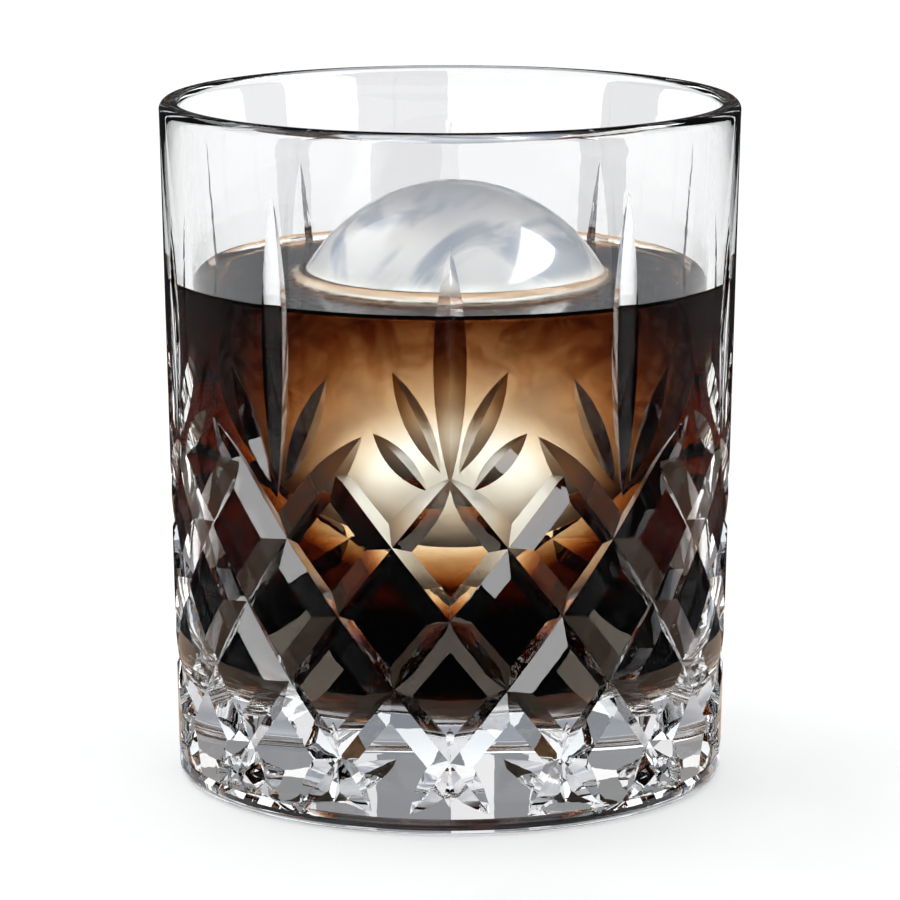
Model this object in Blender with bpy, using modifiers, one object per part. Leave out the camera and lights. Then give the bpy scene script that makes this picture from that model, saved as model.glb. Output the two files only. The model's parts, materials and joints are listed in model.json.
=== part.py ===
"""A black russian: a cut-crystal tumbler, the coffee-dark drink that fills it, and the ball of clear ice in the drink.

Metres, +Z up. The origin is the middle of the foot, where the tumbler stands on the table. Azimuths are measured
round the axis from the front (-Y) towards +X. Every cut in the crystal is the V that a mitre wheel leaves: a line
that is straight on the unrolled wall, sunk to a depth that runs out at each end.
"""

import math

import bmesh
import bpy
from mathutils import Vector

MM = 0.001

# Tumbler: the turned blank
HEIGHT = 100.0 * MM
RIM_RADIUS = 42.3 * MM
FOOT_RADIUS = 40.2 * MM
HEEL_ROUNDING = 1.5 * MM
LIP_THICKNESS = 3.0 * MM
FLOOR_Z = 14.5 * MM
FLOOR_FILLET = 7.0 * MM
BORE_AT_FLOOR = 35.0 * MM
BORE_AT_DRINK = 37.9 * MM
PUNT_DEPTH = 0.7 * MM
PUNT_RADIUS = 29.5 * MM
BLANK_SIDES = 48

# Lattice of diamonds, whose lowest crossings are the stars
COLUMNS = 15
COLUMN = 2 * math.pi / COLUMNS
ROW_HEIGHT = 10.35 * MM
ROWS = 4
STAR_Z = 10.2 * MM
TOP_ROW_Z = STAR_Z + ROWS * ROW_HEIGHT
STAR_TIP_Z = 3.2 * MM
STAR_RUN = 8.0 * MM
STAR_LEAF = (4.2 * MM, 16.0 * MM)

# The wheel. One slant of the lattice and one side of each fan is a little deeper, as hand cutting leaves it
WHEEL_HALF_ANGLE = math.radians(54)
GROOVE_DEPTH = {1: 1.9 * MM, -1: 1.83 * MM}
LEAF_DEPTH = {1: 1.3 * MM, -1: 1.26 * MM}
SHORT_LEAF_DEPTH = {1: 1.15 * MM, -1: 1.12 * MM}
SPIKE_DEPTH = 1.75 * MM
STAR_LEAF_DEPTH = 1.35 * MM
CUTTER_CLEARANCE = 0.9 * MM
RUN_STATIONS = (-0.15, 0.3, 0.65)
STATION_STEP = math.radians(12)

# Fans: five high ones, and between them five low ones whose outer leaves are the lattice's own grooves. A spike is
# its foot's and its tip's z. A leaf is the degrees from the fan's middle and the millimetres of z of foot and tip
FANS = 5
HIGH_SPIKE = (51.0 * MM, 84.5 * MM)
LOW_SPIKE = (47.6 * MM, 91.0 * MM)
HIGH_LEAF = ((1.8, 52.6), (11.1, 66.8))
SHORT_LEAF = ((4.4, 50.0), (15.0, 58.0))
LOW_LEAF = ((1.8, 49.6), (11.6, 65.4))

# What a lattice groove does above the top row: how far it goes on, and how long it takes to run out
GROOVE_ENDS = {"point": (0.4 * MM, 8.0 * MM), "leaf": (5.9 * MM, 11.0 * MM), "stop": (1.5 * MM, 4.5 * MM)}

# Drink and ice
DRINK_Z = 73.5 * MM
GAP = 0.3 * MM
MENISCUS_RISE = 0.9 * MM
MENISCUS_WIDTH = 2.0 * MM
ICE_RADIUS = 25.5 * MM
ICE_ABOVE_DRINK = 13.5 * MM
ICE_CENTRE = Vector((0.65 * MM, 0, DRINK_Z + ICE_ABOVE_DRINK - ICE_RADIUS))
ICE_SIDES = 36
ICE_RINGS = 18


def wall_radius(z):
    """Outer radius of the tumbler's straight, slightly flared wall."""
    return FOOT_RADIUS + (RIM_RADIUS - FOOT_RADIUS) * z / HEIGHT


def bore_radius(z):
    """Inner radius: nearly straight as far as the drink's level, then a wall that thins to the lip."""
    if z <= DRINK_Z:
        return BORE_AT_FLOOR + (BORE_AT_DRINK - BORE_AT_FLOOR) * (z - FLOOR_Z) / (DRINK_Z - FLOOR_Z)
    lip_bore = RIM_RADIUS - LIP_THICKNESS
    return BORE_AT_DRINK + (lip_bore - BORE_AT_DRINK) * (z - DRINK_Z) / (HEIGHT - DRINK_Z)


def arc(centre, radius, start, end, steps):
    """Points of a circular arc in the (r, z) plane, with its angles in degrees from the r axis."""
    angles = [math.radians(start + (end - start) * i / steps) for i in range(steps + 1)]
    return [(centre[0] + radius * math.cos(a), centre[1] + radius * math.sin(a)) for a in angles]


def polar(azimuth, radius, z):
    return Vector((radius * math.sin(azimuth), -radius * math.cos(azimuth), z))


def principled(name, colour, roughness, transmission, ior):
    material = bpy.data.materials.new(name)
    material.use_nodes = True
    shader = material.node_tree.nodes["Principled BSDF"]
    shader.inputs["Base Color"].default_value = (*colour, 1)
    shader.inputs["Roughness"].default_value = roughness
    shader.inputs["Metallic"].default_value = 0.0
    shader.inputs["Transmission Weight"].default_value = transmission
    shader.inputs["IOR"].default_value = ior
    material.diffuse_color = (*colour, 1)
    return material


def new_collection(name, hidden=False):
    collection = bpy.data.collections.new(name)
    collection.hide_render = hidden
    bpy.context.scene.collection.children.link(collection)
    return collection


def as_cutter(obj):
    obj.hide_render = True
    obj.display_type = "WIRE"
    return obj


def turned(name, profile, collection):
    """A solid of revolution: (r, z) points from the axis to the outside and back to the axis, on a Screw."""
    mesh = bpy.data.meshes.new(name)
    mesh.from_pydata([(r, 0, z) for r, z in profile], [(i, i + 1) for i in range(len(profile) - 1)], [])
    obj = bpy.data.objects.new(name, mesh)
    collection.objects.link(obj)
    screw = obj.modifiers.new("turn", "SCREW")
    screw.steps = screw.render_steps = BLANK_SIDES
    screw.use_merge_vertices = True
    screw.merge_threshold = 0.00001
    return obj


def ball(name, radius, centre, collection):
    bpy.ops.mesh.primitive_uv_sphere_add(segments=ICE_SIDES, ring_count=ICE_RINGS, radius=radius, location=centre)
    obj = bpy.context.active_object
    obj.name = name
    for other in obj.users_collection:
        other.objects.unlink(obj)
    collection.objects.link(obj)
    return obj


def cut_away(obj, name, **operand):
    """A Boolean difference with one object or a whole collection of cutters."""
    cut = obj.modifiers.new(name, "BOOLEAN")
    cut.operation = "DIFFERENCE"
    cut.operand_type = "COLLECTION" if "collection" in operand else "OBJECT"
    for key, value in operand.items():
        setattr(cut, key, value)
    cut.solver = "EXACT"


# --- the wheel cuts --------------------------------------------------------------------------------------------------


def sunk_depth(along, length, depth, runs):
    """Depth at a distance along a cut. Over the run at each end the wheel lifts out on its own round rim."""
    shares = [min(along / runs[0], 1), min((length - along) / runs[1], 1)]
    return depth * min(1 - (1 - share) ** 2 for share in shares)


def stations(length, runs, step):
    """Distances along a cut at which it has a section: a few in each run, and a step apart between the runs."""
    places = [share * runs[0] for share in RUN_STATIONS] + [length - share * runs[1] for share in RUN_STATIONS]
    inner = length - runs[0] - runs[1]
    if inner < step / 4:
        return sorted(places + [length / 2])
    count = max(1, round(inner / step))
    return sorted(places + [runs[0] + inner * i / count for i in range(count + 1)])


def wheel_cutter(name, sections, collection):
    """The closed V-section loft that a cut takes away. A section is its bottom point, the way out of the crystal, the
    way across the cut, and the depth there."""
    bm = bmesh.new()
    rings = []
    for bottom, outward, across, depth in sections:
        lift = max(depth, 0) + CUTTER_CLEARANCE
        edge = across * lift * math.tan(WHEEL_HALF_ANGLE)
        top = bottom + outward * lift
        rings.append([bm.verts.new(place) for place in (bottom, top + edge, top - edge)])
    for near, far in zip(rings, rings[1:]):
        for i in range(3):
            j = (i + 1) % 3
            bm.faces.new((near[i], near[j], far[j]))
            bm.faces.new((near[i], far[j], far[i]))
    bm.faces.new(rings[0])
    bm.faces.new(reversed(rings[-1]))
    bmesh.ops.recalc_face_normals(bm, faces=bm.faces)
    mesh = bpy.data.meshes.new(name)
    bm.to_mesh(mesh)
    bm.free()
    collection.objects.link(as_cutter(bpy.data.objects.new(name, mesh)))


def wall_cut(name, start, end, depth, runs, collection):
    """A cut in the wall from one (azimuth, z) to another. runs are its two run-outs, or None for half of it each."""
    mean_radius = wall_radius((start[1] + end[1]) / 2)
    length = math.hypot((end[0] - start[0]) * mean_radius, end[1] - start[1])
    runs = runs or (length / 2, length / 2)
    flare = math.atan2(RIM_RADIUS - FOOT_RADIUS, HEIGHT)

    def on_wall(share):
        azimuth = start[0] + (end[0] - start[0]) * share
        z = start[1] + (end[1] - start[1]) * share
        return azimuth, polar(azimuth, wall_radius(z), z)

    sections = []
    for along in stations(length, runs, STATION_STEP * mean_radius):
        share = along / length
        azimuth, place = on_wall(share)
        forward = (on_wall(share + 0.01)[1] - on_wall(share - 0.01)[1]).normalized()
        outward = polar(azimuth, math.cos(flare), -math.sin(flare))
        sunk = sunk_depth(along, length, depth, runs)
        sections.append((place - outward * sunk, outward, outward.cross(forward).normalized(), sunk))
    wheel_cutter(name, sections, collection)


def cut_lattice(collection):
    """Two families of slanting grooves, and an upright leaf through each star. Above the top row a groove ends in a
    point under a high fan, runs on as the outer leaf of a low fan, or stops where it meets such a leaf."""
    for column in range(COLUMNS):
        for slant in (1, -1):
            rise, run = GROOVE_ENDS[("point", "leaf", "stop")[column * slant % 3]]
            top = TOP_ROW_Z + rise
            ends = []
            for z in (STAR_TIP_Z, top):
                ends.append((column * COLUMN + slant * (TOP_ROW_Z - z) / ROW_HEIGHT * COLUMN / 2, z))
            side = "right" if slant > 0 else "left"
            wall_cut(f"groove_{side}_{column}", *ends, GROOVE_DEPTH[slant], (STAR_RUN, run), collection)
        foot, tip = ((column * COLUMN, z) for z in STAR_LEAF)
        wall_cut(f"star_leaf_{column}", foot, tip, STAR_LEAF_DEPTH, None, collection)


def cut_leaf(name, middle, side, leaf, depth, collection):
    foot, tip = ((middle + math.radians(degrees) * side, z * MM) for degrees, z in leaf)
    wall_cut(name, foot, tip, depth, None, collection)


def cut_fans(collection):
    """A tall spike each, with two leaves each side on a high fan and one each side on a low fan."""
    for fan in range(FANS):
        high = fan * 2 * math.pi / FANS
        low = high + math.pi / FANS
        for name, middle, (foot, tip) in (("high", high, HIGH_SPIKE), ("low", low, LOW_SPIKE)):
            wall_cut(f"spike_{name}_{fan}", (middle, foot), (middle, tip), SPIKE_DEPTH, None, collection)
        for side in (-1, 1):
            cut_leaf(f"leaf_high_{fan}_{side}", high, side, HIGH_LEAF, LEAF_DEPTH[side], collection)
            cut_leaf(f"leaf_short_{fan}_{side}", high, side, SHORT_LEAF, SHORT_LEAF_DEPTH[side], collection)
            cut_leaf(f"leaf_low_{fan}_{side}", low, side, LOW_LEAF, LEAF_DEPTH[side], collection)


# --- the pieces ------------------------------------------------------------------------------------------------------


def bore_profile(inset):
    """The tumbler's inside from the drink's level down its fillet to the middle of its floor, drawn in by an inset."""
    fillet_z = FLOOR_Z + FLOOR_FILLET
    fillet = (bore_radius(fillet_z) - FLOOR_FILLET, fillet_z)
    profile = [(bore_radius(DRINK_Z) - inset, DRINK_Z)]
    profile += arc(fillet, FLOOR_FILLET - inset, 0, -90, 3)
    return profile + [(0, FLOOR_Z + inset)]


def make_tumbler(collection, cutters):
    """The blank is turned with its lip, bore, heel and shallow punt, and the wheels then cut the wall."""
    lip = LIP_THICKNESS / 2
    profile = [(0, PUNT_DEPTH), (PUNT_RADIUS - PUNT_DEPTH, PUNT_DEPTH), (PUNT_RADIUS, 0)]
    profile += arc((FOOT_RADIUS - HEEL_ROUNDING, HEEL_ROUNDING), HEEL_ROUNDING, -90, 0, 3)
    profile += arc((RIM_RADIUS - lip, HEIGHT - lip), lip, 0, 180, 5)
    profile += bore_profile(0)
    glass = turned("glass", profile[::-1], collection)
    glass.rotation_euler.z = math.pi / BLANK_SIDES - math.pi / 2
    cut_away(glass, "wheel cuts", collection=cutters)
    cut_lattice(cutters)
    cut_fans(cutters)
    glass.data.materials.append(principled("crystal", (0.93, 0.95, 0.96), 0.02, 1.0, 1.52))


def make_drink(collection, cutters):
    """The drink fills the bore up to its level, climbs the wall in a meniscus, and is cut round the ball of ice."""
    edge = bore_radius(DRINK_Z) - GAP
    profile = [(0, DRINK_Z), (edge - MENISCUS_WIDTH, DRINK_Z), (edge, DRINK_Z + MENISCUS_RISE)]
    profile += bore_profile(GAP)[1:]
    drink = turned("drink", profile, collection)
    drink.rotation_euler.z = math.pi / BLANK_SIDES - math.pi / 2
    cut_away(drink, "round the ice", object=as_cutter(ball("ice_hollow", ICE_RADIUS + GAP, ICE_CENTRE, cutters)))
    drink.data.materials.append(principled("coffee_drink", (0.09, 0.035, 0.015), 0.03, 0.85, 1.36))


def make_ice(collection):
    ice = ball("ice_ball", ICE_RADIUS, ICE_CENTRE, collection)
    ice.data.materials.append(principled("clear_ice", (0.86, 0.91, 0.95), 0.05, 1.0, 1.31))
    ice.data.shade_smooth()


for scene_object in list(bpy.data.objects):
    bpy.data.objects.remove(scene_object)
pieces = new_collection("black_russian")
wheel_cuts = new_collection("wheel_cuts", hidden=True)
hollows = new_collection("hollows", hidden=True)
make_tumbler(pieces, wheel_cuts)
make_drink(pieces, hollows)
make_ice(pieces)
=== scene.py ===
import json
import math

import bpy
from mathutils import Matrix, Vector

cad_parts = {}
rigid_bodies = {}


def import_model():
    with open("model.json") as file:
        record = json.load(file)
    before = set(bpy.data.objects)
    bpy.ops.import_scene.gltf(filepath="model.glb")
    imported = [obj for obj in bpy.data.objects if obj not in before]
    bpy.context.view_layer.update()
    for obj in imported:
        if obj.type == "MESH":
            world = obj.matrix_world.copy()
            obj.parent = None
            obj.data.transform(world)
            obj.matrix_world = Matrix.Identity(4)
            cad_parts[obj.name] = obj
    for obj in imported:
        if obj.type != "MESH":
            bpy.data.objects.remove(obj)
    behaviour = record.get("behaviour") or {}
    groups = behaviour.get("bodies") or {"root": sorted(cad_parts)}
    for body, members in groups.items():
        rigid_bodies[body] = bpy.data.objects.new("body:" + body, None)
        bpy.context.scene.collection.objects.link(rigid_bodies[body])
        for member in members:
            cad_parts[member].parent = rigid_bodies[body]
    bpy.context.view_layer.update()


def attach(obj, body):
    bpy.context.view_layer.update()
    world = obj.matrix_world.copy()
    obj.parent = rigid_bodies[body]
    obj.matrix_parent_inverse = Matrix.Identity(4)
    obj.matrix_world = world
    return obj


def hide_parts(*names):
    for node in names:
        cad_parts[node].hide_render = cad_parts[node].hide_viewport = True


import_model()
MM = 0.001

# --------------------------------------------------------------------------------------------------
# The camera: a long lens in front of the tumbler and a little above its rim, far enough off that
# the tumbler's sides stay almost upright.
# --------------------------------------------------------------------------------------------------

CAMERA_DISTANCE = 685.0 * MM
CAMERA_HEIGHT = 183.0 * MM
CAMERA_PITCH = 11.17
IMAGE_SIDE = 900
FOCAL_PIXELS = 4736
SENSOR = 36.0

bpy.ops.object.camera_add(
    location=(0, -CAMERA_DISTANCE, CAMERA_HEIGHT), rotation=(math.radians(90 - CAMERA_PITCH), 0, 0)
)
camera = bpy.context.object
camera.name = "camera"
camera.data.sensor_width = SENSOR
camera.data.lens = FOCAL_PIXELS / IMAGE_SIDE * SENSOR
camera.data.clip_start = 10 * MM
bpy.context.scene.camera = camera

# --------------------------------------------------------------------------------------------------
# The tumbler's blank: crystal blown into a mould, with a heavy clear base, a bore that opens a
# little towards the fire-polished lip, and a shallow punt under the foot, all turned ring by ring.
# --------------------------------------------------------------------------------------------------

HEIGHT = 100.0 * MM
RIM_RADIUS = 42.3 * MM
FOOT_RADIUS = 40.2 * MM
HEEL_ROUNDING = 1.5 * MM
LIP_THICKNESS = 3.0 * MM
FLOOR_Z = 14.5 * MM
FLOOR_FILLET = 7.0 * MM
BORE_AT_FLOOR = 35.0 * MM
BORE_AT_DRINK = 37.9 * MM
PUNT_DEPTH = 0.7 * MM
PUNT_RADIUS = 29.5 * MM
DRINK_Z = 73.5 * MM
WET_Z = 74.4 * MM
TURNED_SIDES = 240
WALL_RING = 1.6 * MM
BORE_RING = 6 * MM
FILLET_STEPS = 14
LIP_STEPS = 16
HEEL_STEPS = 8
SMOOTH_ANGLE = math.radians(14)


def wall_radius(z):
    return FOOT_RADIUS + (RIM_RADIUS - FOOT_RADIUS) * z / HEIGHT


def bore_radius(z):
    if z <= DRINK_Z:
        return BORE_AT_FLOOR + (BORE_AT_DRINK - BORE_AT_FLOOR) * (z - FLOOR_Z) / (DRINK_Z - FLOOR_Z)
    lip_bore = RIM_RADIUS - LIP_THICKNESS
    return BORE_AT_DRINK + (lip_bore - BORE_AT_DRINK) * (z - DRINK_Z) / (HEIGHT - DRINK_Z)


def arc(centre, radius, start, end, steps):
    """Points of an arc in the (r, z) plane, with its angles in degrees from the r axis."""
    angles = [math.radians(start + (end - start) * i / steps) for i in range(steps + 1)]
    return [(centre[0] + radius * math.cos(a), centre[1] + radius * math.sin(a)) for a in angles]


def between(low, high, step):
    """Heights between two heights, no further apart than a step, without the two."""
    count = math.ceil(abs(high - low) / step)
    return [low + (high - low) * i / count for i in range(1, count)]


def alone(obj):
    """Leaves one object selected and active, out of edit mode."""
    bpy.ops.object.select_all(action="DESELECT")
    obj.select_set(True)
    bpy.context.view_layer.objects.active = obj


def turn(name, profile, sides=TURNED_SIDES):
    """A solid turned from (r, z) points: a disc at the first, extruded ring by ring to the last."""
    bpy.ops.object.select_all(action="DESELECT")
    radius, z = profile[0]
    bpy.ops.mesh.primitive_circle_add(
        vertices=sides, radius=radius, fill_type="NGON", location=(0, 0, z)
    )
    obj = bpy.context.object
    obj.name = name
    bpy.ops.object.mode_set(mode="EDIT")
    bpy.ops.mesh.select_all(action="SELECT")
    for next_radius, next_z in profile[1:]:
        bpy.ops.mesh.extrude_region_move(TRANSFORM_OT_translate={"value": (0, 0, next_z - z)})
        ratio = next_radius / radius
        bpy.ops.transform.resize(value=(ratio, ratio, 1), center_override=(0, 0, next_z))
        radius, z = next_radius, next_z
    bpy.ops.mesh.select_all(action="SELECT")
    bpy.ops.mesh.normals_make_consistent(inside=False)
    bpy.ops.object.mode_set(mode="OBJECT")
    bpy.ops.object.transform_apply()
    return obj


def floor_and_bore(inset, top):
    """The tumbler's inside from the middle of its floor to a height, pushed out by an inset."""
    fillet_z = FLOOR_Z + FLOOR_FILLET
    fillet = (bore_radius(fillet_z) - FLOOR_FILLET, fillet_z)
    rings = arc(fillet, FLOOR_FILLET + inset, -90, 0, FILLET_STEPS)
    start = (rings[0][0] / 2, rings[0][1])
    stops = [fillet_z] + [z for z in (DRINK_Z, WET_Z) if z < top] + [top]
    heights = []
    for low, high in zip(stops, stops[1:]):
        heights += between(low, high, BORE_RING) + [high]
    return [start] + rings + [(bore_radius(z) + inset, z) for z in heights]


lip = LIP_THICKNESS / 2
heel = (FOOT_RADIUS - HEEL_ROUNDING, HEEL_ROUNDING)
blank = floor_and_bore(0, HEIGHT - 2 * LIP_THICKNESS)
blank += arc((RIM_RADIUS - lip, HEIGHT - lip), lip, 180, 0, LIP_STEPS)
blank += [(wall_radius(z), z) for z in between(HEIGHT - lip, heel[1], WALL_RING)]
blank += arc(heel, HEEL_ROUNDING, 0, -90, HEEL_STEPS)
blank += [(PUNT_RADIUS, 0), (PUNT_RADIUS - PUNT_DEPTH, PUNT_DEPTH)]
blank.append((PUNT_RADIUS / 2, PUNT_DEPTH))
tumbler = turn("tumbler", blank)

# --------------------------------------------------------------------------------------------------
# The cutting: every groove, leaf and spike is the V of a mitre wheel that runs out where the wheel
# lifts off. Thirty slanting grooves cross in diamonds and stars, and ten fans of leaves stand on
# the lattice's top row. The cut faces are polished with acid, which leaves them faintly wavy.
# --------------------------------------------------------------------------------------------------

COLUMNS = 15
COLUMN = 2 * math.pi / COLUMNS
ROW_HEIGHT = 10.35 * MM
STAR_Z = 10.2 * MM
TOP_ROW_Z = STAR_Z + 4 * ROW_HEIGHT
STAR_TIP_Z = 3.2 * MM
STAR_RUN = 8.0 * MM
STAR_LEAF = (4.2 * MM, 16.0 * MM)
STAR_LEAF_DEPTH = 1.35 * MM
WHEEL_HALF_ANGLE = math.radians(54)
GROOVE_DEPTH = {1: 1.9 * MM, -1: 1.83 * MM}
LEAF_DEPTH = {1: 1.3 * MM, -1: 1.26 * MM}
SHORT_LEAF_DEPTH = {1: 1.15 * MM, -1: 1.12 * MM}
SPIKE_DEPTH = 1.75 * MM
FANS = 5
HIGH_SPIKE = (51.0 * MM, 84.5 * MM)
LOW_SPIKE = (47.6 * MM, 91.0 * MM)
HIGH_LEAF = ((1.8, 52.6), (11.1, 66.8))
SHORT_LEAF = ((4.4, 50.0), (15.0, 58.0))
LOW_LEAF = ((1.8, 49.6), (11.6, 65.4))
GROOVE_ENDS = {
    "point": (0.4 * MM, 8.0 * MM),
    "leaf": (5.9 * MM, 11.0 * MM),
    "stop": (1.5 * MM, 4.5 * MM),
}
OVERSHOOT = 0.05
LIFT_CLEARANCE = 0.9 * MM
BAR_CUTS = 30

bpy.ops.object.select_all(action="DESELECT")
bpy.ops.mesh.primitive_cylinder_add(vertices=3, radius=1, depth=1, end_fill_type="NGON")
bar = bpy.context.object
bpy.ops.object.mode_set(mode="EDIT")
bpy.ops.mesh.select_mode(type="EDGE")
bpy.ops.mesh.select_all(action="DESELECT")
bpy.ops.object.mode_set(mode="OBJECT")
for edge in bar.data.edges:
    low, high = (bar.data.vertices[i].co.z for i in edge.vertices)
    edge.select = abs(high - low) > 0.5
bpy.ops.object.mode_set(mode="EDIT")
bpy.ops.mesh.subdivide(number_cuts=BAR_CUTS)
bpy.ops.object.mode_set(mode="OBJECT")

cut_rounds = {}


def polar(azimuth, radius, z):
    return Vector((radius * math.sin(azimuth), -radius * math.cos(azimuth), z))


def wheel_cut(cut_round, start, end, depth, runs=None):
    """Wraps a copy of the three-sided bar on the wall, from one (azimuth, z) to another, and sinks
    its keel. The cuts of one round don't cross each other."""
    mean_radius = wall_radius((start[1] + end[1]) / 2)
    length = math.hypot((end[0] - start[0]) * mean_radius, end[1] - start[1])
    runs = runs or (length / 2, length / 2)
    flare = math.atan2(RIM_RADIUS - FOOT_RADIUS, HEIGHT)
    cutter = bar.copy()
    cutter.data = bar.data.copy()
    if cut_round not in cut_rounds:
        cut_rounds[cut_round] = bpy.data.collections.new(cut_round)
        bpy.context.scene.collection.children.link(cut_rounds[cut_round])
    cut_rounds[cut_round].objects.link(cutter)

    def on_wall(share):
        azimuth = start[0] + (end[0] - start[0]) * share
        z = start[1] + (end[1] - start[1]) * share
        return azimuth, polar(azimuth, wall_radius(z), z)

    for vertex in cutter.data.vertices:
        share = 0.5 + vertex.co.z * (1 + 2 * OVERSHOOT)
        azimuth, place = on_wall(share)
        forward = (on_wall(share + 0.01)[1] - on_wall(share - 0.01)[1]).normalized()
        outward = polar(azimuth, math.cos(flare), -math.sin(flare))
        across = forward.cross(outward).normalized()
        ends = [min(share * length / runs[0], 1), min((1 - share) * length / runs[1], 1)]
        sunk = depth * min(1 - (1 - end_share) ** 2 for end_share in ends)
        lift = max(sunk, 0) + LIFT_CLEARANCE
        if vertex.co.y > 0.5:
            vertex.co = place - outward * sunk
        else:
            side = math.copysign(lift * math.tan(WHEEL_HALF_ANGLE), vertex.co.x)
            vertex.co = place + outward * (lift - sunk) + across * side


for column in range(COLUMNS):
    for slant in (1, -1):
        rise, run = GROOVE_ENDS[("point", "leaf", "stop")[column * slant % 3]]
        ends = []
        for z in (STAR_TIP_Z, TOP_ROW_Z + rise):
            rows_down = (TOP_ROW_Z - z) / ROW_HEIGHT
            ends.append((column * COLUMN + slant * rows_down * COLUMN / 2, z))
        wheel_cut(f"grooves_{slant}", *ends, GROOVE_DEPTH[slant], (STAR_RUN, run))
    wheel_cut("uprights", *((column * COLUMN, z) for z in STAR_LEAF), STAR_LEAF_DEPTH)


def leaf(kind, middle, side, ends, depth):
    ends = ((middle + math.radians(degrees) * side, z * MM) for degrees, z in ends)
    wheel_cut(f"{kind}_{side}", *ends, depth)


for fan in range(FANS):
    high = fan * 2 * math.pi / FANS
    low = high + math.pi / FANS
    for middle, spike in ((high, HIGH_SPIKE), (low, LOW_SPIKE)):
        wheel_cut("uprights", *((middle, z) for z in spike), SPIKE_DEPTH)
    for side in (-1, 1):
        leaf("long_leaves", high, side, HIGH_LEAF, LEAF_DEPTH[side])
        leaf("long_leaves", low, side, LOW_LEAF, LEAF_DEPTH[side])
        leaf("short_leaves", high, side, SHORT_LEAF, SHORT_LEAF_DEPTH[side])
bpy.data.objects.remove(bar)

alone(tumbler)
for cut_round in cut_rounds.values():
    cut = tumbler.modifiers.new("cut", "BOOLEAN")
    cut.operation = "DIFFERENCE"
    cut.operand_type = "COLLECTION"
    cut.collection = cut_round
    cut.solver = "MANIFOLD"
    bpy.ops.object.modifier_apply(modifier="cut")
    for cutter in list(cut_round.objects):
        bpy.data.objects.remove(cutter)
    bpy.data.collections.remove(cut_round)
bpy.ops.object.shade_smooth_by_angle(angle=SMOOTH_ANGLE)


class Finish:
    """A socket among a material's nodes. Arithmetic on it adds Math nodes, node() any other."""

    def __init__(self, tree, socket=None):
        self.tree = tree
        self.socket = socket

    def node(self, kind, settings=(), sockets=(), output=0):
        made = self.tree.nodes.new("ShaderNode" + kind)
        for name, value in dict(settings).items():
            setattr(made, name, value)
        for name, value in dict(sockets).items():
            if isinstance(value, Finish):
                self.tree.links.new(value.socket, made.inputs[name])
            else:
                made.inputs[name].default_value = value
        return Finish(self.tree, made.outputs[output] if made.outputs else None)

    def maths(self, operation, *values):
        return self.node("Math", {"operation": operation}, enumerate(values))

    def __add__(self, other):
        return self.maths("ADD", self, other)

    def __sub__(self, other):
        return self.maths("SUBTRACT", self, other)

    def __rsub__(self, other):
        return self.maths("SUBTRACT", other, self)

    def __mul__(self, other):
        return self.maths("MULTIPLY", self, other)

    __radd__ = __add__
    __rmul__ = __mul__

    def rise(self, start, end):
        """0 below a start and 1 above an end, with a smooth rise between."""
        between_them = {"Value": self, "From Min": start, "From Max": end}
        return self.node("MapRange", {"interpolation_type": "SMOOTHSTEP"}, between_them)

    def noise(self, scale, detail=3.0, distortion=0.0):
        """Even noise, from 0 to 1, of so many waves in a metre of the object."""
        place = self.node("TexCoord", output="Object")
        sockets = {"Vector": place, "Scale": scale, "Detail": detail, "Distortion": distortion}
        return self.node("TexNoise", sockets=sockets)

    def blend(self, colour, other):
        """One colour turning into another as this value goes from 0 to 1."""
        return self.tint((*colour, 1), other)

    def tint(self, under, colour):
        """A colour laid over another one, which may be a socket, as this value goes from 0 to 1."""
        sockets = {0: self, 6: under, 7: (*colour, 1)}
        return self.node("Mix", {"data_type": "RGBA"}, sockets, output=2)

    def absorbing(self, absorbed):
        """The inside of a clear solid, from what a metre of it takes of red, green and blue."""
        density = max(absorbed)
        colour = (*(1 - share / density for share in absorbed), 1)
        return self.node("VolumeAbsorption", sockets={"Color": colour, "Density": density})


def new_finish(name):
    material = bpy.data.materials.new(name)
    material.use_nodes = True
    material.node_tree.nodes.clear()
    return material, Finish(material.node_tree)


CRYSTAL_IOR = 1.52
CRYSTAL_TONES = ((0.965, 0.97, 0.975), (0.99, 0.99, 0.99))
POLISH_WAVES = 110
WAVE_HEIGHT = 0.12 * MM
INSIDE_CLEARANCE = 0.5 * MM


def crystal(name, mirror):
    """Acid-polished crystal, whose faces wave very slightly. mirror tints what it reflects."""
    material, glass = new_finish(name)
    bump = {"Height": glass.noise(POLISH_WAVES), "Strength": 0.12, "Distance": WAVE_HEIGHT}
    shader = {
        "Base Color": glass.noise(35).rise(0.3, 0.7).blend(*CRYSTAL_TONES),
        "Roughness": 0.0,
        "IOR": CRYSTAL_IOR,
        "Transmission Weight": 1.0,
        "Specular Tint": (*mirror, 1),
        "Normal": glass.node("Bump", sockets=bump),
    }
    glass.node("OutputMaterial", sockets={"Surface": glass.node("BsdfPrincipled", sockets=shader)})
    return material


tumbler.data.materials.clear()
tumbler.data.materials.append(crystal("crystal", (1, 1, 1)))
tumbler.data.materials.append(crystal("wetted_crystal", (0, 0, 0)))
for face in tumbler.data.polygons:
    middle = face.center
    inside = math.hypot(middle.x, middle.y) < bore_radius(middle.z) + INSIDE_CLEARANCE
    face.material_index = int(inside and FLOOR_Z - INSIDE_CLEARANCE < middle.z < WET_Z)
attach(tumbler, "root")
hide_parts("glass")

# --------------------------------------------------------------------------------------------------
# The drink: vodka and coffee liqueur, poured over the ball. It reaches just into the crystal and
# the ice, so that no air shows between, and creeps up both in a brown meniscus. This body of it has
# the pale colour of melt water, and the stronger layers lie inside it.
# --------------------------------------------------------------------------------------------------

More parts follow.
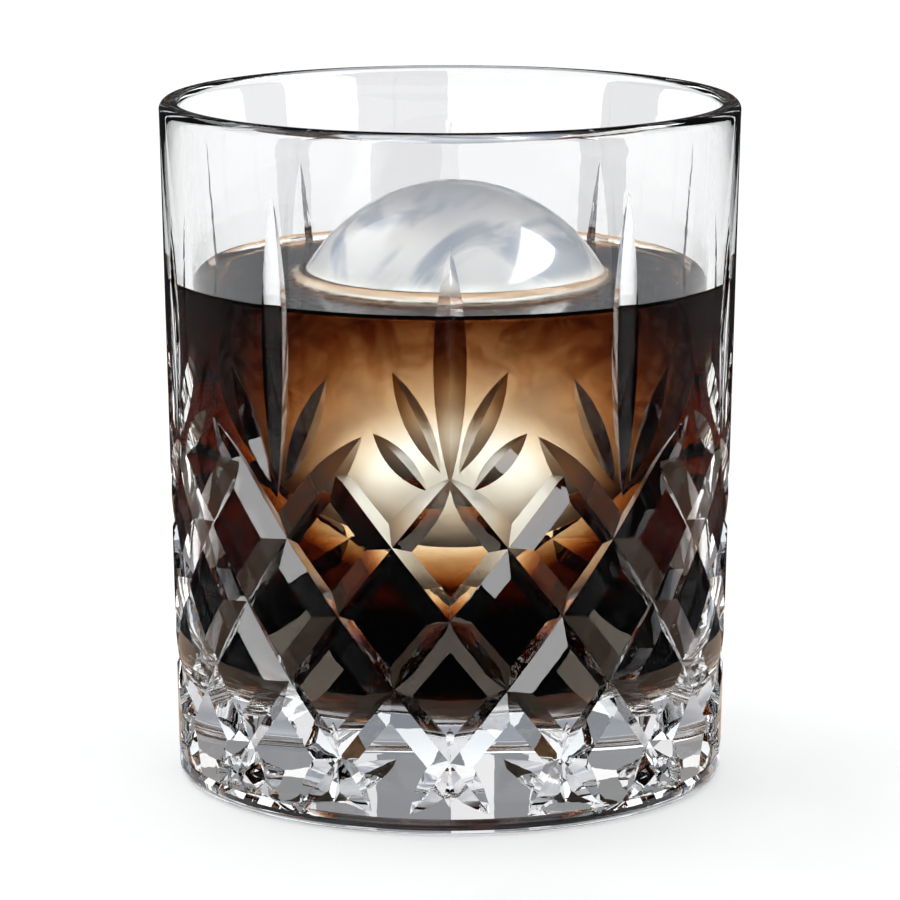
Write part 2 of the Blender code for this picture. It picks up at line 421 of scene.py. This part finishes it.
INTO_WALL = 0.12 * MM
MENISCUS_RISE = WET_Z - DRINK_Z
MENISCUS_WIDTH = 2.2 * MM
MENISCUS_CURVE = 2.4
MENISCUS_STEPS = 8
RISE_AT_ICE = 1.2 * MM
OPEN_SURFACE = (31 * MM, 29 * MM, 27 * MM)
ICE_MENISCUS = 24.6 * MM
ICE_MENISCUS_WIDTH = 2.4 * MM
INSIDE_ICE = (15 * MM, 8 * MM)
DRINK_SIDES = 180
SMOOTH_LIQUID = math.radians(30)
BALL_SIDES = 128
ICE_RADIUS = 25.5 * MM
ICE_CENTRE = Vector((0.65 * MM, 0, 61.5 * MM))
INTO_ICE = 0.12 * MM
DRINK_IOR = 1.36
MELT_WATER = (4, 8, 15)
MELT_STAIN = (0.99, 0.96, 0.92)
MELT_SWIRLS = 55
CREEP_BROWN = (0.68, 0.46, 0.30)
CREEP_STARTS = DRINK_Z + 0.1 * MM
CREEP_FULL = DRINK_Z + 0.6 * MM
GLOW_Z = 47 * MM
GLOW_REACH = (34 * MM, 1, 26 * MM)

profile = floor_and_bore(INTO_WALL, WET_Z)
wall = profile[-1][0]
for i in range(1, MENISCUS_STEPS + 1):
    share = i / MENISCUS_STEPS
    z = DRINK_Z + MENISCUS_RISE * (1 - share) ** MENISCUS_CURVE
    profile.append((wall - MENISCUS_WIDTH * share, z))
profile += [(radius, DRINK_Z) for radius in OPEN_SURFACE]
for i in range(MENISCUS_STEPS + 1):
    share = i / MENISCUS_STEPS
    z = DRINK_Z + RISE_AT_ICE * share ** MENISCUS_CURVE
    profile.append((ICE_MENISCUS - ICE_MENISCUS_WIDTH * share, z))
profile += [(radius, DRINK_Z + RISE_AT_ICE) for radius in INSIDE_ICE]
drink = turn("drink_body", profile, DRINK_SIDES)


def add_ball(centre, semi_axes):
    """A new ball, or a long egg."""
    bpy.ops.object.select_all(action="DESELECT")
    bpy.ops.mesh.primitive_uv_sphere_add(
        segments=BALL_SIDES, ring_count=BALL_SIDES // 2, radius=1, location=centre, scale=semi_axes
    )
    bpy.ops.object.transform_apply()
    return bpy.context.object


def hollow_out(obj, centre, semi_axes):
    """Takes a ball or a long egg out of a solid."""
    hole = add_ball(centre, semi_axes)
    away = obj.modifiers.new("hollow", "BOOLEAN")
    away.operation = "DIFFERENCE"
    away.object = hole
    away.solver = "MANIFOLD"
    alone(obj)
    bpy.ops.object.modifier_apply(modifier="hollow")
    bpy.data.objects.remove(hole)
    bpy.ops.object.shade_smooth_by_angle(angle=SMOOTH_LIQUID)


def liquid(name, ior, absorbed, stain, swirls_in_a_metre):
    """A clear liquid. Its skin shows stained swirls, left out in a tube running front to back
    through the glow under the ball as a painted pool of light, and the brown of the drink where it
    has crept up."""
    material, body = new_finish(name)
    place = body.node("TexCoord", output="Object")
    painted_glow_tube = {0: place, "Location": (0, 0, GLOW_Z), "Scale": GLOW_REACH}
    painted_glow_tube = body.node("Mapping", {"vector_type": "TEXTURE"}, painted_glow_tube)
    # Painted pool of light: no swirls in a tube front to back through the glow, so that the glow
    # shows brighter.
    clear = body.node("TexGradient", {"gradient_type": "SPHERICAL"}, {0: painted_glow_tube}).rise(0, 0.5)
    swirls = body.noise(swirls_in_a_metre, 4.0, 1.6).rise(0.40, 0.64) * (1 - clear)
    height = body.node("SeparateXYZ", sockets={0: place}, output="Z")
    creep = height.rise(CREEP_STARTS, CREEP_FULL)
    shader = {
        "Base Color": creep.tint(swirls.blend((1, 1, 1), stain), CREEP_BROWN),
        "Roughness": 0.0,
        "IOR": ior,
        "Transmission Weight": 1.0,
        "Specular Tint": (0, 0, 0, 1),
    }
    surface = body.node("BsdfPrincipled", sockets=shader)
    body.node("OutputMaterial", sockets={"Surface": surface, "Volume": body.absorbing(absorbed)})
    return material


hollow_out(drink, ICE_CENTRE, [ICE_RADIUS - INTO_ICE] * 3)
drink.data.materials.clear()
drink.data.materials.append(liquid("melt_water", DRINK_IOR, MELT_WATER, MELT_STAIN, MELT_SWIRLS))
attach(drink, "root")
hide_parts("drink")

# --------------------------------------------------------------------------------------------------
# The strong part of the drink: layers that the melt water hasn't thinned. Each lies just inside the
# one before, adds its own colour to it, and leaves free the ball and the long egg of melt water
# that sinks under the ball.
# --------------------------------------------------------------------------------------------------

LAYER_INSET = 0.15 * MM
LAYER_SIDES = 120
LAYER_STAIN = (0.64, 0.46, 0.32)
LAYER_SWIRLS = 120
BALL_CLEARANCE = 0.4 * MM
MELT_CENTRE = (0.3 * MM, 16 * MM, 47.5 * MM)
LAYERS = (
    ("strong_drink", DRINK_Z, (50, 85, 128), (21 * MM, 62 * MM, 18 * MM)),
    ("liqueur", DRINK_Z, (58, 96, 140), (28 * MM, 62 * MM, 29 * MM)),
    ("settled_liqueur", 23 * MM, (110, 150, 180), None),
)

for index, (name, layer_top, absorbed, melt) in enumerate(LAYERS):
    inset = LAYER_INSET * (index + 1)
    profile = floor_and_bore(-inset, layer_top - inset)
    profile.append((profile[-1][0] / 2, layer_top - inset))
    layer = turn(name, profile, LAYER_SIDES)
    hollow_out(layer, ICE_CENTRE, [ICE_RADIUS + BALL_CLEARANCE + inset] * 3)
    if melt:
        hollow_out(layer, MELT_CENTRE, melt)
    layer.data.materials.clear()
    layer.data.materials.append(liquid(name, 1.0, absorbed, LAYER_STAIN, LAYER_SWIRLS))
    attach(layer, "root")

# --------------------------------------------------------------------------------------------------
# The ice: one large ball from a two-part mould. It is clear under the drink, and its dome is dulled
# by patches of frost and glazed with melt water, with shallow dimples where it has begun to melt.
# --------------------------------------------------------------------------------------------------

ICE_IOR = 1.31
ICE_ABSORBED = (1.2, 0.7, 0.3)
CLEAR_ICE = ((1, 1, 1), (0.96, 0.98, 1))
FROST = ((0.38, 0.46, 0.58), (1, 1, 1))
FROST_FEET = (DRINK_Z + 0.5 * MM, DRINK_Z + 3 * MM)
DOME_DARKER_AT_TOP = (80 * MM, 87 * MM)
DIMPLE_DEPTH = 0.8 * MM

ice = add_ball(ICE_CENTRE, [ICE_RADIUS] * 3)
ice.name = "ice"
bpy.ops.object.shade_smooth()
material, ball = new_finish("clear_ice")
height = ball.node("SeparateXYZ", sockets={0: ball.node("TexCoord", output="Object")}, output="Z")
dimples = {"Height": ball.noise(60, 1.0), "Strength": 0.35, "Distance": DIMPLE_DEPTH}
dimples = ball.node("Bump", sockets=dimples)
inside = {
    "Base Color": ball.noise(70).rise(0.4, 0.7).blend(*CLEAR_ICE),
    "Roughness": 0.3,
    "IOR": ICE_IOR,
    "Transmission Weight": 1.0,
    "Normal": dimples,
}
# The frost's white thins towards the top of the dome, which leaves the top darker blue-grey.
white = ball.noise(40, 4.0, 1.6).rise(0.46, 0.56) * (1 - 0.7 * height.rise(*DOME_DARKER_AT_TOP))
frosted = {
    "Base Color": white.blend(*FROST),
    "Roughness": 0.25,
    "Coat Weight": 1.0,
    "Coat Roughness": 0.02,
    "Normal": dimples,
}
frost_cover = 0.6 + 0.3 * ball.noise(30, 3.0, 0.5).rise(0.3, 0.7)
surface = {
    0: height.rise(*FROST_FEET) * frost_cover,
    1: ball.node("BsdfPrincipled", sockets=inside),
    2: ball.node("BsdfPrincipled", sockets=frosted),
}
surface = ball.node("MixShader", sockets=surface)
ball.node("OutputMaterial", sockets={"Surface": surface, "Volume": ball.absorbing(ICE_ABSORBED)})
ice.data.materials.append(material)
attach(ice, "root")
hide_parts("ice_ball")

# --------------------------------------------------------------------------------------------------
# The table: a plain white sheet of paper, large enough to run on behind. It glows a little, so that
# it stays white right round the glass.
# --------------------------------------------------------------------------------------------------

PAPER_SIZE = 12
PAPER_Z = -0.05 * MM
PAPER_TONES = ((0.58, 0.58, 0.57), (0.64, 0.64, 0.63))
PAPER_GLOW = (1, 1, 0.99, 1)
PAPER_GRAIN = 900
GRAIN_DEPTH = 0.1 * MM

bpy.ops.object.select_all(action="DESELECT")
bpy.ops.mesh.primitive_plane_add(size=PAPER_SIZE, location=(0, 0, PAPER_Z))
floor = bpy.context.object
floor.name = "floor"
material, paper = new_finish("paper")
grain = paper.noise(PAPER_GRAIN, 4.0)
bump = {"Height": grain, "Strength": 0.1, "Distance": GRAIN_DEPTH}
shader = {
    "Base Color": grain.blend(*PAPER_TONES),
    "Emission Color": PAPER_GLOW,
    "Emission Strength": 0.50,
    "Roughness": 0.9,
    "Normal": paper.node("Bump", sockets=bump),
}
paper.node("OutputMaterial", sockets={"Surface": paper.node("BsdfPrincipled", sockets=shader)})
floor.data.materials.append(material)

# --------------------------------------------------------------------------------------------------
# The studio: one soft ceiling light over the white paper, so that the glass is bright behind. Dark
# walls, mats and bright windows show only in reflections, some of them also through the glass, and
# a white card behind the tumbler lights the melt water under the ball.
# --------------------------------------------------------------------------------------------------

ROOM_TONES = ((0.27, 0.28, 0.29), (0.24, 0.26, 0.29))
WALLS_AWAY = 3
MATS_START = 44 * MM
MAT_EDGE = 105 * MM
CREAM_MAT = 50 * MM
CREAM_MAT_X = 95 * MM
CREAM_MAT_Y = -68 * MM
PALE_LIGHT = (1, 0.86, 0.72)
WHITE = (1, 1, 1)
CARD_MIDDLE = (0, 55 * MM, 42 * MM)
CARD_SIZE = (80 * MM, 50 * MM, 1)
BLINDS = ((-10.5 * MM, 20 * MM, 0.86), (43 * MM, 16 * MM, 0.80), (-44 * MM, 12 * MM, 0.86))
BLINDS_Y = 250 * MM
BLINDS_Z = 50 * MM
BLINDS_HEIGHT = 100 * MM
UPRIGHT = (math.radians(90), 0, 0)

world = bpy.data.worlds.new("studio")
world.use_nodes = True
world.node_tree.nodes.clear()
room = Finish(world.node_tree)
way = room.node("TexCoord", output="Generated")
upwards = room.node("SeparateXYZ", sockets={0: way}, output="Z")
room_light = {"Color": upwards.rise(0.0, 0.55).blend(*ROOM_TONES)}
room.node("OutputWorld", sockets={"Surface": room.node("Background", sockets=room_light)})
bpy.context.scene.world = world


def screen(name, colour, strength, seen_through=False, other=None, patches=0, soft=False):
    """Makes the new object a glowing screen that only reflections show, or reflections and what is
    seen through the glass. It may have patches of another colour, so many in a metre, and a soft
    one has full strength in its middle and a strength of 1 at its edge."""
    obj = bpy.context.object
    obj.name = name
    material, glow = new_finish(name)
    tone = (*colour, 1)
    if other:
        tone = glow.noise(patches, 3.0, 0.5).rise(0.38, 0.62).blend(colour, other)
    if soft:
        place = {0: glow.node("TexCoord", output="Object"), "Scale": (2, 2, 2)}
        place = glow.node("Mapping", sockets=place)
        inner = glow.node("TexGradient", {"gradient_type": "SPHERICAL"}, {0: place}).rise(0, 0.7)
        strength = 1 + inner * (strength - 1)
    light = glow.node("Emission", sockets={"Color": tone, "Strength": strength})
    glow.node("OutputMaterial", sockets={"Surface": light})
    obj.data.materials.append(material)
    obj.visible_camera = False
    obj.visible_diffuse = False
    obj.visible_transmission = seen_through
    obj.visible_volume_scatter = False
    obj.visible_shadow = False
    return obj


def window(name, azimuth, elevation, size, colour, strength):
    """A flat screen a metre from the dome and facing it. Azimuth 0 is the camera's side, and it
    grows to the right."""
    azimuth, elevation = math.radians(azimuth), math.radians(elevation)
    away = Vector((math.sin(azimuth), -math.cos(azimuth), 0)) * math.cos(elevation)
    away.z = math.sin(elevation)
    bpy.ops.object.select_all(action="DESELECT")
    bpy.ops.mesh.primitive_plane_add(size=1, location=away + Vector((0, 0, 60 * MM)))
    sheet = bpy.context.object
    sheet.scale = (*size, 1)
    sheet.rotation_euler = away.to_track_quat("Z", "Y").to_euler()
    screen(name, colour, strength)


bpy.ops.object.select_all(action="DESELECT")
bpy.ops.mesh.primitive_uv_sphere_add(segments=48, ring_count=24, radius=WALLS_AWAY)
screen("dark_walls", (0.92, 0.96, 1.0), 0.04)


def ring(inner, outer, z):
    """A new flat ring, lying at a height above or below the foot."""
    bpy.ops.object.select_all(action="DESELECT")
    bpy.ops.mesh.primitive_circle_add(
        vertices=96, radius=inner, fill_type="NOTHING", location=(0, 0, z)
    )
    bpy.ops.object.mode_set(mode="EDIT")
    bpy.ops.mesh.select_all(action="SELECT")
    bpy.ops.mesh.extrude_region_move()
    bpy.ops.transform.resize(value=(outer / inner, outer / inner, 1), center_override=(0, 0, z))
    bpy.ops.object.mode_set(mode="OBJECT")


# The mats lie one over another on the paper, and the last two just under the foot. Those two, also
# seen through the glass, are painted shade under and round the foot.
ring(MATS_START, WALLS_AWAY, 0.4 * MM)
screen("dark_cloth", (0.9, 0.95, 1.0), 0.02)
ring(MATS_START, MAT_EDGE, 0.8 * MM)
screen("warm_mat", (1.0, 0.74, 0.54), 0.6)
for x in (-CREAM_MAT_X, CREAM_MAT_X):
    bpy.ops.object.select_all(action="DESELECT")
    bpy.ops.mesh.primitive_plane_add(size=CREAM_MAT, location=(x, CREAM_MAT_Y, 1.2 * MM))
    screen("cream_mat", (1.0, 0.86, 0.70), 2.2)
# Painted shade round the foot: grey patches, seen through the glass and in reflections.
ring(1 * MM, 150 * MM, -0.04 * MM)
screen("patchy_shade_round_foot", (0.95, 0.96, 0.98), 1.0, True, (0.28, 0.31, 0.36), 26)
# Painted shade under the foot: a dark patchy disc, seen through the glass and in reflections.
ring(1 * MM, 40 * MM, -0.03 * MM)
screen("dark_shade_under_foot", (0.45, 0.46, 0.48), 1.0, True, (0.05, 0.04, 0.035), 70)

window("dome_window_left", -118, 43, (0.8, 0.42), WHITE, 2)
window("dome_window_right", 95, 49, (1.0, 0.3), WHITE, 12)
window("window_left", -67, 13, (0.42, 0.36), PALE_LIGHT, 1.7)
window("window_right", 67, 13, (0.42, 0.36), PALE_LIGHT, 1.7)
window("window_front", -26, 28, (0.6, 0.3), WHITE, 7.5)

bpy.ops.object.select_all(action="DESELECT")
bpy.ops.mesh.primitive_circle_add(
    vertices=64, radius=0.5, fill_type="NGON", location=CARD_MIDDLE, rotation=UPRIGHT
)
bpy.context.object.scale = CARD_SIZE
screen("white_card", (0.92, 0.97, 1.0), 2.2, True, soft=True).visible_glossy = False

for x, width, tone in BLINDS:
    bpy.ops.object.select_all(action="DESELECT")
    bpy.ops.mesh.primitive_plane_add(size=1, location=(x, BLINDS_Y, BLINDS_Z), rotation=UPRIGHT)
    bpy.context.object.scale = (width, BLINDS_HEIGHT, 1)
    screen("faint_blind", (tone, tone, tone * 1.02), 1.0, True)

bpy.ops.object.light_add(
    type="SUN", location=(-0.4, 0.3, 1.5), rotation=(math.radians(-12), math.radians(-15), 0)
)
ceiling = bpy.context.object
ceiling.name = "ceiling_light"
ceiling.data.energy = 2.2
ceiling.data.angle = math.radians(100)
ceiling.visible_glossy = False

scene = bpy.context.scene
scene.view_settings.view_transform = "Standard"
world.cycles.sampling_method = "NONE"
scene.cycles.use_adaptive_sampling = True
scene.cycles.adaptive_threshold = 0.15
scene.cycles.max_bounces = 24
scene.cycles.transmission_bounces = 24
scene.cycles.glossy_bounces = 8
scene.cycles.diffuse_bounces = 3
scene.cycles.transparent_max_bounces = 8
